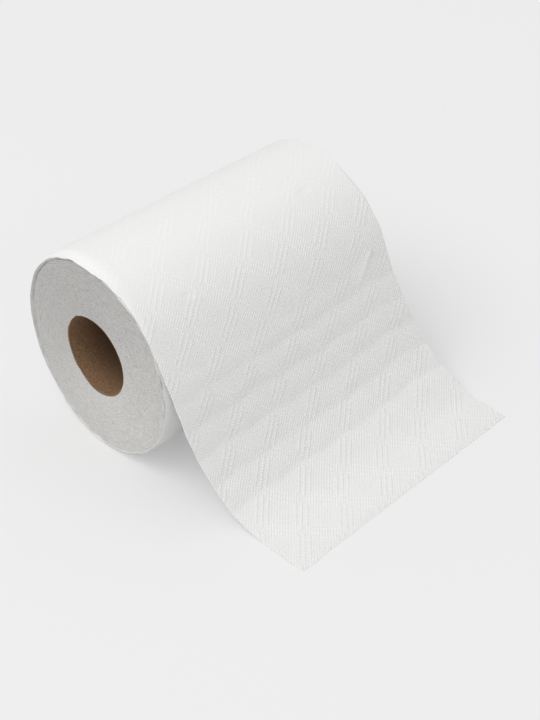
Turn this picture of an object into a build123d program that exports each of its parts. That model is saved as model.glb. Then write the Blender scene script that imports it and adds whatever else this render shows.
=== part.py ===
from build123d import *
from math import cos, pi, radians, sin, tan
import os

# A paper towel roll lying on its side. Y runs along the core, X towards the free sheet, Z is up,
# and the origin is the middle of the core's bore.
roll_diameter = 130.0
roll_width = 185.0
core_bore = 51.0
core_wall = 0.9

# The paper: the embossed sheet, the air left under the loosened last turn, and the weight's flat spot.
sheet_thickness = 0.6
root_gap = 0.4
loose_lift = 0.9
flat_depth = 0.5

# The last turns have slipped along the roll, which leaves a lip at one end and a step at the other.
lip_overhang = 1.5
lip_thickness = 1.3

# The turns that show as a spiral on both ends.
turn_count = 6
groove_width = 0.5
groove_depth = 0.6
turn_margin = 1.3

# The free sheet: where it leaves the roll, how it falls, and how far it lies on the floor.
leave_angle = 72.0
fall_shares = ((1.115, 0.015), (1.265, -0.325), (1.44, -0.61), (1.70, -0.855))
touch_share = 2.03
reach_share = 2.49
side_drift = 8.9
front_skew = 2.0
ripple_pitch = 17.6
ripple_height = 0.9

roll_radius = roll_diameter / 2
core_radius = core_bore / 2 + core_wall
turn_step = sheet_thickness + root_gap
under_radius = roll_radius - turn_step
bottom_radius = roll_radius - turn_step / 2
floor_level = flat_depth - bottom_radius
lip_radius = under_radius - lip_thickness
first_turn = core_radius + turn_margin
last_turn = lip_radius - turn_margin - groove_width
turn_pitch = (last_turn - first_turn) / turn_count
near_end = roll_width / 2
slipped_end = near_end + lip_overhang

os.makedirs("parts", exist_ok=True)

# The wound cardboard core, flush with the paper at both ends.
with BuildPart() as core_tube:
    with BuildSketch(Plane.XZ):
        Circle(core_radius)
        Circle(core_bore / 2, mode=Mode.SUBTRACT)
    extrude(amount=roll_width / 2, both=True)
core_tube.part.label = "core tube"

# The middle line of the free sheet, seen from the end: over the loosened turn, down and out to the floor.
sheet_level = floor_level + sheet_thickness / 2
middle_radius = roll_radius - sheet_thickness / 2
leave_points = [(0, middle_radius)]
for share in (1 / 3, 2 / 3, 1):
    turned = radians(leave_angle * share)
    reach = middle_radius + loose_lift * share
    leave_points.append((reach * sin(turned), reach * cos(turned)))
fall_points = [(roll_radius * across, roll_radius * up) for across, up in fall_shares]
leave_across = leave_points[-1][0]
touch_across = roll_radius * touch_share
skew_reach = roll_width / 2 * tan(radians(front_skew))
front_near = roll_radius * reach_share + skew_reach
front_far = roll_radius * reach_share - skew_reach
with BuildLine() as sheet_line:
    fall_run = Spline(*leave_points, *fall_points, (touch_across, sheet_level), tangents=((1, 0), (1, 0)))

# The sheet's two faces follow that line in one arc a ripple: each station is a crease or the crest between
# two creases, and the ripples fade out towards the roll and the floor.
lap_length = middle_radius * radians(leave_angle)
free_length = fall_run.length - lap_length
station_count = 2 * round(fall_run.length / ripple_pitch)
outer_points = []
under_points = []
for station in range(station_count + 1):
    along_share = station / station_count
    spot = fall_run.position_at(along_share)
    heading = fall_run.tangent_at(along_share)
    free_share = min(max((fall_run.length * along_share - lap_length) / free_length, 0), 1)
    swell = ripple_height * (station % 2 - 1 / 2) * sin(pi * free_share) ** 2
    above = swell + sheet_thickness / 2
    below = swell - sheet_thickness / 2
    outer_points.append((spot.X - heading.Y * above, spot.Y + heading.X * above))
    under_points.append((spot.X - heading.Y * below, spot.Y + heading.X * below))

# The sheet is drawn from the end and trimmed from above, where it drifts sideways and ends a little askew.
near_side = -slipped_end
far_side = roll_width - slipped_end
near_drifted = near_side + side_drift
far_drifted = far_side + side_drift
with BuildPart() as free_sheet:
    with BuildSketch(Plane.XZ.offset(roll_width)):
        with BuildLine():
            for station in range(0, station_count, 2):
                ThreePointArc(*outer_points[station : station + 3])
                ThreePointArc(*under_points[station : station + 3])
            Polyline(
                outer_points[-1],
                (2 * front_near, outer_points[-1][1]),
                (2 * front_near, floor_level),
                under_points[-1],
            )
            Line(outer_points[0], under_points[0])
        make_face()
    extrude(amount=-2 * roll_width)
    with BuildSketch(Plane.XY.offset(-roll_diameter)):
        with BuildLine():
            Polyline(
                (leave_across, near_side),
                (-roll_radius, near_side),
                (-roll_radius, far_side),
                (leave_across, far_side),
            )
            Spline((leave_across, far_side), (touch_across, far_drifted), tangents=((1, 0), (1, 0)))
            Polyline(
                (touch_across, far_drifted),
                (front_far, far_drifted),
                (front_near, near_drifted),
                (touch_across, near_drifted),
            )
            Spline((touch_across, near_drifted), (leave_across, near_side), tangents=((-1, 0), (-1, 0)))
        make_face()
    extrude(amount=2 * roll_diameter, mode=Mode.INTERSECT)

# The wound paper and its free sheet are one web. Its outline is one turn of a spiral, stepped at the top.
front_radius = (under_radius + bottom_radius) / 2
back_radius = (bottom_radius + roll_radius) / 2
with BuildPart() as paper_roll:
    with BuildSketch(Plane.XZ.offset(slipped_end)):
        with BuildLine():
            front_bulge = (front_radius, under_radius - front_radius)
            ThreePointArc((0, under_radius), front_bulge, (0, -bottom_radius))
            back_bulge = (-back_radius, roll_radius - back_radius)
            ThreePointArc((0, -bottom_radius), back_bulge, (0, roll_radius))
            Line((0, roll_radius), (0, under_radius))
        make_face()
    extrude(amount=-roll_width)
    with BuildSketch(Plane.XZ.offset(slipped_end)):
        Circle(lip_radius)
    extrude(amount=-lip_overhang, mode=Mode.SUBTRACT)
    with BuildSketch(Plane.XZ.offset(-near_end)):
        Circle(lip_radius)
    extrude(amount=lip_overhang)
    with BuildSketch(Plane.XZ):
        Circle(core_radius)
    extrude(amount=slipped_end, both=True, mode=Mode.SUBTRACT)
    # The turns on both ends, drawn as half circles that widen by half a pitch each.
    for end in (1, -1):
        with BuildSketch(Plane.XZ.offset(end * near_end)):
            with BuildLine():
                for wall in (first_turn, first_turn + groove_width):
                    for half in range(2 * turn_count):
                        side = 1 - 2 * (half % 2)
                        start = wall + turn_pitch * half / 2
                        stop = start + turn_pitch / 2
                        bulge = (side * (start + stop) / 2, side * (start - stop) / 2)
                        ThreePointArc((0, side * start), bulge, (0, -side * stop))
                Line((0, first_turn), (0, first_turn + groove_width))
                Line((0, last_turn), (0, last_turn + groove_width))
            make_face()
        extrude(amount=-end * groove_depth, mode=Mode.SUBTRACT)
    add(free_sheet.part)
    # Its own weight has pressed a narrow flat spot into the underside, level with the sheet on the floor.
    split(bisect_by=Plane.XY.offset(floor_level), keep=Keep.TOP)
paper_roll.part.label = "paper roll"

export_step(core_tube.part, "parts/core_tube.step")
export_step(paper_roll.part, "parts/paper_roll.step")
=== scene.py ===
"""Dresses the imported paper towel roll: an embossed web wound on a board core, with its free sheet."""

import logging
import math
from dataclasses import dataclass, field
from enum import Enum
from typing import Dict, List, Sequence, Tuple, Union

import bpy
import numpy as np
from mathutils import Matrix, Vector


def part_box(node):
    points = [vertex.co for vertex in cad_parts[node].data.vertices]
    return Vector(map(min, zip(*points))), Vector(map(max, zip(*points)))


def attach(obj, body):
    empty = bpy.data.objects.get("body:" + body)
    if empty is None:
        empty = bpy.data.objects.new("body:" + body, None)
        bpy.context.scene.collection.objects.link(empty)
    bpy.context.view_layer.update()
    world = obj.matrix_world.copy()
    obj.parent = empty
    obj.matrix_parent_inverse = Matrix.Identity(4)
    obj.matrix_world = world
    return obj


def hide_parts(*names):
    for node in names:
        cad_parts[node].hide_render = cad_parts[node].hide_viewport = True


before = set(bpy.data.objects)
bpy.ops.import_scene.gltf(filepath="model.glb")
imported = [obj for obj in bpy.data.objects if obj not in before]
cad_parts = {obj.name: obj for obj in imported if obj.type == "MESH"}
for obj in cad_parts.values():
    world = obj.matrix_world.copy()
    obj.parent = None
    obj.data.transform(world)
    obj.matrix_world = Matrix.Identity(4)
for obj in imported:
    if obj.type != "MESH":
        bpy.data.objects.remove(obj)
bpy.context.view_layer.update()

LOG = logging.getLogger("paper_roll")
MM = 0.001
NOISE_STEPS = 4096
NOISE_SHIFT = 700.0
CURVE_STEPS = 4000
Socket = bpy.types.NodeSocket
Node = bpy.types.Node
Tree = bpy.types.NodeTree
Material = bpy.types.Material
Piece = bpy.types.Object
Number = Union[float, int, Socket]
Pair = Tuple[float, float]
Triple = Tuple[float, float, float]
Rgba = Tuple[float, float, float, float]


class PaperSlot(Enum):
    """The record's material slots."""

    PAPER = "paper"
    CORE = "core"


class RollEnd(Enum):
    """The two ends of the roll, by the sign of their place along Y."""

    NEAR = -1
    FAR = 1


class NodeGraph:
    """Adds and joins nodes in one shader or geometry tree."""

    def __init__(self, tree: Tree) -> None:
        """Keeps the tree that the nodes go into.

        Args:
            tree: the tree to fill.
        """
        self.tree = tree

    def add(self, kind: str, **settings: object) -> Node:
        """Adds a node.

        Args:
            kind: the node's type name.
            settings: properties to set on it.

        Returns:
            The new node.
        """
        node = self.tree.nodes.new(kind)
        for name, value in settings.items():
            setattr(node, name, value)
        return node

    def feed(self, value: object, socket: Socket) -> None:
        """Links a socket into another, or sets a plain value on it.

        Args:
            value: the socket or the value.
            socket: the input that takes it.
        """
        if isinstance(value, Socket):
            self.tree.links.new(value, socket)
        else:
            socket.default_value = value

    def math(self, operation: str, *terms: Number) -> Socket:
        """Adds a math node.

        Args:
            operation: the math node's operation.
            terms: up to three numbers or sockets.

        Returns:
            The result's socket.
        """
        node = self.add("ShaderNodeMath", operation=operation)
        for socket, term in zip(node.inputs, terms):
            self.feed(term, socket)
        return node.outputs[0]

    def fade(self, value: Number, low: float, high: float) -> Socket:
        """Maps a value to 0 at low and 1 at high, smoothly.

        Args:
            value: what is mapped.
            low: where the result is 0.
            high: where the result is 1.

        Returns:
            The result's socket.
        """
        node = self.add("ShaderNodeMapRange", interpolation_type="SMOOTHSTEP")
        self.feed(value, node.inputs["Value"])
        node.inputs["From Min"].default_value = low
        node.inputs["From Max"].default_value = high
        return node.outputs["Result"]

    def line(self, distance: Number, half_width: float) -> Socket:
        """A raised line: 1 where the distance is 0, falling to 0 at the half width.

        Args:
            distance: the distance from the line's middle.
            half_width: where the line has fallen away.

        Returns:
            The line's height socket.
        """
        return self.fade(self.math("ABSOLUTE", distance), half_width, 0.0)

    def noise(self, place: Socket, scale: Number, detail: float) -> Socket:
        """Adds a noise texture.

        Args:
            place: the coordinates that it follows.
            scale: its scale.
            detail: its octaves.

        Returns:
            The noise's value socket, from 0 to 1.
        """
        node = self.add("ShaderNodeTexNoise")
        self.feed(place, node.inputs["Vector"])
        self.feed(scale, node.inputs["Scale"])
        node.inputs["Detail"].default_value = detail
        return node.outputs[0]

    def split(self, vector: Socket) -> Tuple[Socket, ...]:
        """Splits a vector.

        Args:
            vector: the vector's socket.

        Returns:
            Its three parts' sockets.
        """
        node = self.add("ShaderNodeSeparateXYZ")
        self.feed(vector, node.inputs[0])
        return tuple(node.outputs)

    def join(self, *parts: Number) -> Socket:
        """Joins numbers into a vector.

        Args:
            parts: up to three numbers or sockets.

        Returns:
            The vector's socket.
        """
        node = self.add("ShaderNodeCombineXYZ")
        for socket, part in zip(node.inputs, parts):
            self.feed(part, socket)
        return node.outputs[0]

    def surface(self, roughness: float, specular: float) -> Node:
        """Adds a material's surface shader and its output.

        Args:
            roughness: the shader's roughness.
            specular: how strongly it shines.

        Returns:
            The shader node.
        """
        shader = self.add("ShaderNodeBsdfPrincipled")
        shader.inputs["Roughness"].default_value = roughness
        shader.inputs["Specular IOR Level"].default_value = specular
        out = self.add("ShaderNodeOutputMaterial")
        self.feed(shader.outputs["BSDF"], out.inputs["Surface"])
        return shader

    def blend(self, share: Number, first: object, second: object) -> Socket:
        """Mixes two colours.

        Args:
            share: how much of the second shows.
            first: the first colour or its socket.
            second: the second colour or its socket.

        Returns:
            The mixed colour's socket.
        """
        mix = self.add("ShaderNodeMix", data_type="RGBA")
        for value, index in ((share, 0), (first, 6), (second, 7)):
            self.feed(value, mix.inputs[index])
        return mix.outputs[2]

    def relief(self, height: Number, depth: float, strength: float = 1.0) -> Node:
        """Adds a bump.

        Args:
            height: the relief, from 0 to 1.
            depth: what a height of 1 stands for, in metres.
            strength: how much of it shows.

        Returns:
            The bump node.
        """
        bump = self.add("ShaderNodeBump")
        bump.inputs["Strength"].default_value = strength
        bump.inputs["Distance"].default_value = depth
        self.feed(height, bump.inputs["Height"])
        return bump


def bare_material(name: str) -> Tuple[Material, NodeGraph]:
    """Makes a material whose tree is still empty.

    Args:
        name: its name.

    Returns:
        The material and the graph helper of its tree.
    """
    made = bpy.data.materials.new(name)
    made.use_nodes = True
    made.node_tree.nodes.clear()
    return made, NodeGraph(made.node_tree)


def smooth(share: np.ndarray) -> np.ndarray:
    """Eases a share from 0 to 1 with level ends."""
    held = np.clip(share, 0.0, 1.0)
    return held * held * (3.0 - 2.0 * held)


def wander(place: np.ndarray, pitch: float, seed: int) -> np.ndarray:
    """Smooth noise along a line, from about -1 to 1.

    Args:
        place: where it is read.
        pitch: the distance over which it changes.
        seed: which noise it is.

    Returns:
        One value for each place.
    """
    steps = np.random.default_rng(seed).uniform(-1.0, 1.0, NOISE_STEPS)
    spot = np.asarray(place) / pitch + NOISE_SHIFT
    whole = np.floor(spot).astype(int)
    ease = smooth(spot - whole)
    return steps[whole % NOISE_STEPS] * (1.0 - ease) + steps[(whole + 1) % NOISE_STEPS] * ease


@dataclass(frozen=True)
class Wander:
    """One smooth noise along a line: its height, its pitch and its seed."""

    height: float
    pitch: float
    seed: int

    def at(self, place: np.ndarray) -> np.ndarray:
        """The noise at these places."""
        return self.height * wander(place, self.pitch, self.seed)


def cubic_through(knots: np.ndarray) -> Tuple[np.ndarray, np.ndarray]:
    """A smooth curve through points, read at many fine steps.

    Args:
        knots: the points, one row each.

    Returns:
        The lengths along the curve, and the finely spaced points there.
    """
    chords = np.hypot(*np.diff(knots, axis=0).T)
    at = np.concatenate([[0.0], np.cumsum(chords)])
    count = len(at)
    system = np.zeros((count, count))
    wanted = np.zeros((count, knots.shape[1]))
    system[0, 0] = system[-1, -1] = 1.0
    for k in range(1, count - 1):
        left, right = chords[k - 1], chords[k]
        system[k, k - 1 : k + 2] = left, 2.0 * (left + right), right
        wanted[k] = 6.0 * ((knots[k + 1] - knots[k]) / right - (knots[k] - knots[k - 1]) / left)
    bend = np.linalg.solve(system, wanted)
    fine = np.linspace(0.0, at[-1], CURVE_STEPS)
    k = np.clip(np.searchsorted(at, fine, side="right") - 1, 0, count - 2)
    width = chords[k][:, None]
    a = ((at[k + 1] - fine)[:, None]) / width
    b = 1.0 - a
    points = a * knots[k] + b * knots[k + 1]
    points += ((a**3 - a) * bend[k] + (b**3 - b) * bend[k + 1]) * width**2 / 6.0
    lengths = np.concatenate([[0.0], np.cumsum(np.hypot(*np.diff(points, axis=0).T))])
    return lengths, points


def mesh_object(
    name: str,
    points: np.ndarray,
    faces: Sequence[Sequence[int]],
    material: Material,
    sharp_deg: float = 40.0,
) -> Piece:
    """Makes a linked mesh object at the origin.

    Args:
        name: the object's name.
        points: its vertices in metres.
        faces: its faces as vertex numbers.
        material: its finish.
        sharp_deg: the angle past which an edge stays sharp.

    Returns:
        The new object.
    """
    mesh = bpy.data.meshes.new(name)
    mesh.from_pydata(points.tolist(), [], faces)
    mesh.materials.append(material)
    mesh.shade_smooth()
    mesh.set_sharp_from_angle(angle=math.radians(sharp_deg))
    mesh.update()
    piece = bpy.data.objects.new(name, mesh)
    bpy.context.scene.collection.objects.link(piece)
    return piece


def grown(name: str, tree: Tree, values: Dict[str, object], material: Material) -> Piece:
    """Runs a geometry tree once and keeps its result as a plain mesh.

    Args:
        name: the object's name.
        tree: the geometry tree.
        values: its inputs by name.
        material: the finish that the tree sets.

    Returns:
        The finished object.
    """
    seed_mesh = bpy.data.meshes.new(name + "_start")
    maker = bpy.data.objects.new(name + "_maker", seed_mesh)
    bpy.context.scene.collection.objects.link(maker)
    modifier = maker.modifiers.new("grow", "NODES")
    modifier.node_group = tree
    sockets = {s.name: s.identifier for s in tree.interface.items_tree if s.in_out == "INPUT"}
    for key, value in {**values, "Material": material}.items():
        modifier[sockets[key]] = value
    bpy.context.view_layer.update()
    graph = bpy.context.evaluated_depsgraph_get()
    mesh = bpy.data.meshes.new_from_object(maker.evaluated_get(graph))
    maker.modifiers.remove(modifier)
    bpy.data.objects.remove(maker)
    bpy.data.meshes.remove(seed_mesh)
    mesh.name = name
    if not mesh.materials:
        mesh.materials.append(material)
    piece = bpy.data.objects.new(name, mesh)
    bpy.context.scene.collection.objects.link(piece)
    return piece


def geometry_tree(name: str, inputs: Dict[str, str]) -> Tuple[Tree, NodeGraph, Node]:
    """Starts a geometry tree with named inputs and one mesh output.

    Args:
        name: the tree's name.
        inputs: each input's name and socket type.

    Returns:
        The tree, its graph helper and its input node.
    """
    tree = bpy.data.node_groups.new(name, "GeometryNodeTree")
    tree.interface.new_socket("Geometry", in_out="OUTPUT", socket_type="NodeSocketGeometry")
    tree.interface.new_socket("Geometry", in_out="INPUT", socket_type="NodeSocketGeometry")
    for label, kind in inputs.items():
        tree.interface.new_socket(label, in_out="INPUT", socket_type=kind)
    graph = NodeGraph(tree)
    return tree, graph, graph.add("NodeGroupInput")


def end_tree(g: NodeGraph, given: Node, shape: Socket) -> None:
    """Ends a geometry tree: realizes its instances and sets its material.

    Args:
        g: the tree's graph helper.
        given: the tree's input node.
        shape: the finished geometry.
    """
    real = g.add("GeometryNodeRealizeInstances")
    g.feed(shape, real.inputs[0])
    dressed = g.add("GeometryNodeSetMaterial")
    g.feed(real.outputs[0], dressed.inputs["Geometry"])
    g.feed(given.outputs["Material"], dressed.inputs["Material"])
    g.feed(dressed.outputs[0], g.add("NodeGroupOutput").inputs[0])


@dataclass
class EmbossLattice:
    """The embossed relief as a shader group.

    Cells stand on their corners in a chequer of two kinds, with a square or rings round a middle dot.
    Each side between two cells carries three beaded ribs, and finer dots fill what is left.
    """

    side_mm: float = 24.9
    dots_per_side: int = 15
    rib_rows: Tuple[int, ...] = (5, 7, 9)
    rib_reach_mm: Tuple[float, ...] = (8.3, 10.6, 9.2)
    rib_half_mm: float = 1.4
    rib_end_mm: Pair = (0.6, 0.4)
    square_row: int = 2
    square_dot_mm: Pair = (1.0, 0.3)
    ring_radii_mm: Tuple[float, ...] = (3.7, 7.5)
    ring_shares: Tuple[float, ...] = (1.0, 0.6)
    ring_dot_mm: Pair = (1.1, 0.3)
    figure_half_share: float = 0.8
    figure_share: float = 0.75
    ground_share: float = 0.36
    cross_share: float = 0.72
    bead_power: float = 0.75
    bead_share: float = 0.86
    group: Tree = field(init=False)

    def __post_init__(self) -> None:
        """Builds the group once."""
        self.group = bpy.data.node_groups.new("Emboss lattice", "ShaderNodeTree")
        for label in ("Across", "Along"):
            self.group.interface.new_socket(label, in_out="INPUT", socket_type="NodeSocketFloat")
        self.group.interface.new_socket("Height", in_out="OUTPUT", socket_type="NodeSocketFloat")
        self._fill(NodeGraph(self.group))

    def _ribs(self, g: NodeGraph, out: Number, over: Number) -> Socket:
        """The ribs round one square cell.

        Args:
            g: the group's graph helper.
            out: the distance from the cell's centre, square to its nearest side.
            over: the distance along that side from its middle.

        Returns:
            The ribs' height socket.
        """
        pitch = self.side_mm / self.dots_per_side
        height: Number = 0.0
        for row, reach in zip(self.rib_rows, self.rib_reach_mm):
            rib = g.line(g.math("SUBTRACT", out, row * pitch), self.rib_half_mm)
            held = g.fade(over, reach + self.rib_end_mm[0], reach - self.rib_end_mm[1])
            height = g.math("MAXIMUM", height, g.math("MULTIPLY", rib, held))
        return height

    def _beaded(self, g: NodeGraph, drawn: Number, wave: Number) -> Socket:
        """Breaks a drawn line into beads.

        Args:
            g: the group's graph helper.
            drawn: the line's height.
            wave: 1 on each bead and 0 half way to the next.

        Returns:
            The beads' height socket.
        """
        bead = g.math("POWER", wave, self.bead_power)
        kept = g.math("MULTIPLY_ADD", bead, self.bead_share, 1.0 - self.bead_share)
        return g.math("MULTIPLY", drawn, kept)

    def _fill(self, g: NodeGraph) -> None:
        """Adds the group's nodes.

        Args:
            g: the group's graph helper.
        """
        given = g.add("NodeGroupInput")
        out = g.add("NodeGroupOutput")
        pitch = self.side_mm / self.dots_per_side
        turned: List[Socket] = []
        waves: List[Socket] = []
        for sign in ("ADD", "SUBTRACT"):
            way = g.math(sign, given.outputs["Across"], given.outputs["Along"])
            way = g.math("MULTIPLY", way, math.sqrt(0.5))
            turned.append(g.math("PINGPONG", way, self.side_mm))
            wave = g.math("COSINE", g.math("MULTIPLY", way, 2.0 * math.pi / pitch))
            waves.append(g.math("MULTIPLY_ADD", wave, 0.5, 0.5))
        most = g.math("MAXIMUM", turned[0], turned[1])
        least = g.math("MINIMUM", turned[0], turned[1])
        past_most = g.math("SUBTRACT", self.side_mm, most)
        past_least = g.math("SUBTRACT", self.side_mm, least)
        # The ribs that run down to the left are rolled deeper than those that cross them.
        deep = g.math("GREATER_THAN", turned[0], turned[1])
        first = g.math("MULTIPLY_ADD", deep, 1.0 - self.cross_share, self.cross_share)
        second = g.math("MULTIPLY_ADD", deep, self.cross_share - 1.0, 1.0)
        # Each rib is beaded along its own run only, so its beads are wider than they are long.
        swing = g.math("MULTIPLY", deep, g.math("SUBTRACT", waves[1], waves[0]))
        beads = (g.math("ADD", waves[0], swing), g.math("SUBTRACT", waves[1], swing))
        ribs = g.math(
            "MAXIMUM",
            self._beaded(g, g.math("MULTIPLY", self._ribs(g, most, least), first), beads[0]),
            self._beaded(g, g.math("MULTIPLY", self._ribs(g, past_least, past_most), second), beads[1]),
        )
        # The square in one kind of cell, with a middle dot.
        figure_half = self.rib_half_mm * self.figure_half_share
        near_square = g.math("MINIMUM", most, past_least)
        square = g.line(g.math("SUBTRACT", near_square, self.square_row * pitch), figure_half)
        square = g.math("MAXIMUM", square, g.fade(near_square, *self.square_dot_mm))
        # The rings in the other kind, with a middle dot too.
        squared = g.math("ADD", g.math("POWER", past_most, 2.0), g.math("POWER", least, 2.0))
        radius = g.math("SQRT", squared)
        rings: Number = g.fade(radius, *self.ring_dot_mm)
        for size, share in zip(self.ring_radii_mm, self.ring_shares):
            ring = g.line(g.math("SUBTRACT", radius, size), figure_half)
            rings = g.math("MAXIMUM", rings, g.math("MULTIPLY", ring, share))
        dots = g.math("MULTIPLY", waves[0], waves[1])
        drawn = g.math("MULTIPLY", g.math("MAXIMUM", square, rings), self.figure_share)
        figures = self._beaded(g, drawn, dots)
        ground = g.math("MULTIPLY", g.math("POWER", dots, self.bead_power), self.ground_share)
        g.feed(g.math("MAXIMUM", g.math("MAXIMUM", ribs, figures), ground), out.inputs["Height"])


@dataclass
class FibreGrain:
    """The pressed fibres that every finish shares, as a shader group."""

    octaves: float = 3.0
    group: Tree = field(init=False)

    def __post_init__(self) -> None:
        """Builds the group once."""
        self.group = bpy.data.node_groups.new("Fibre grain", "ShaderNodeTree")
        self.group.interface.new_socket("Place", in_out="INPUT", socket_type="NodeSocketVector")
        for label in ("Fineness", "Cloud Fineness"):
            self.group.interface.new_socket(label, in_out="INPUT", socket_type="NodeSocketFloat")
        for label in ("Fibres", "Clouds"):
            self.group.interface.new_socket(label, in_out="OUTPUT", socket_type="NodeSocketFloat")
        g = NodeGraph(self.group)
        given = g.add("NodeGroupInput")
        out = g.add("NodeGroupOutput")
        for label, scale in (("Fibres", "Fineness"), ("Clouds", "Cloud Fineness")):
            noise = g.noise(given.outputs["Place"], given.outputs[scale], self.octaves)
            g.feed(noise, out.inputs[label])

    def place(self, g: NodeGraph, at: Socket, fineness: float, clouds: float) -> Node:
        """Puts the group in a material.

        Args:
            g: the material's graph helper.
            at: the coordinates that it follows.
            fineness: the fibres' scale.
            clouds: the scale of the softer patches.

        Returns:
            The group's node.
        """
        node = g.add("ShaderNodeGroup", node_tree=self.group)
        g.feed(at, node.inputs["Place"])
        node.inputs["Fineness"].default_value = fineness
        node.inputs["Cloud Fineness"].default_value = clouds
        return node


@dataclass(frozen=True)
class TowelPaper:
    """Soft white embossed towel, seen on its flat faces."""

    color: Rgba = (0.93, 0.927, 0.915, 1.0)
    # The darker colour, shown as painted shade in the ground between the beads and in the random cloudy
    # patches.
    shade: Rgba = (0.77, 0.769, 0.76, 1.0)
    roughness: float = 0.95
    emboss_m: float = 0.00042
    pressed_share: float = 0.28
    pressed_to_m: Pair = (0.012, 0.075)
    first_cell_mm: Pair = (8.2, 11.2)
    skew: float = 0.04
    specular: float = 0.12
    fibre_scale: float = 2600.0
    cloud_scale: float = 900.0
    fibre_share: float = 0.1
    clean_clouds: Pair = (0.95, 0.45)
    cloud_share: float = 0.2
    ground_share: float = 0.16
    # Painted highlight: how much paler the paper still on the roll is painted.
    pressed_painted_light_share: float = 0.26

    def material(self, emboss: EmbossLattice, grain: FibreGrain) -> Material:
        """Builds the sheet's finish.

        Args:
            emboss: the relief pattern.
            grain: the paper's fibres.

        Returns:
            The material.
        """
        made, g = bare_material("towel_paper")
        shader = g.surface(self.roughness, self.specular)
        u, v, _ = g.split(g.add("ShaderNodeUVMap", uv_map="Sheet").outputs["UV"])
        pattern = g.add("ShaderNodeGroup", node_tree=emboss.group)
        across = g.math("MULTIPLY_ADD", u, 1.0 / MM, -self.first_cell_mm[0])
        along = g.math("MULTIPLY_ADD", v, 1.0 / MM, -self.first_cell_mm[1])
        g.feed(g.math("MULTIPLY_ADD", along, self.skew, across), pattern.inputs["Across"])
        g.feed(along, pattern.inputs["Along"])
        place = g.add("ShaderNodeTexCoord").outputs["Object"]
        fibres = grain.place(g, place, self.fibre_scale, self.cloud_scale)
        # The emboss is pressed flatter where the sheet still lies on the roll.
        loose = g.fade(v, *self.pressed_to_m)
        strength = g.math("MULTIPLY_ADD", loose, 1.0 - self.pressed_share, self.pressed_share)
        raised = g.math("MULTIPLY", pattern.outputs["Height"], strength)
        height = g.math("MULTIPLY_ADD", fibres.outputs["Fibres"], self.fibre_share, raised)
        g.feed(g.relief(height, self.emboss_m).outputs["Normal"], shader.inputs["Normal"])
        # Painted highlight and shade: the raised beads are painted paler and the ground between them
        # darker, and the paper still pressed on the roll is painted paler too, as a painted highlight.
        clouds = g.fade(fibres.outputs["Clouds"], *self.clean_clouds)
        patchy = g.math("MULTIPLY_ADD", clouds, self.cloud_share, self.ground_share)
        pressed = g.math("SUBTRACT", 1.0, loose)
        patches_and_painted_paling = g.math("MULTIPLY_ADD", pressed, self.pressed_painted_light_share, patchy)
        tone_and_painted_light = g.math("ADD", height, patches_and_painted_paling)
        g.feed(g.blend(tone_and_painted_light, self.shade, self.color), shader.inputs["Base Color"])
        return made


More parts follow.
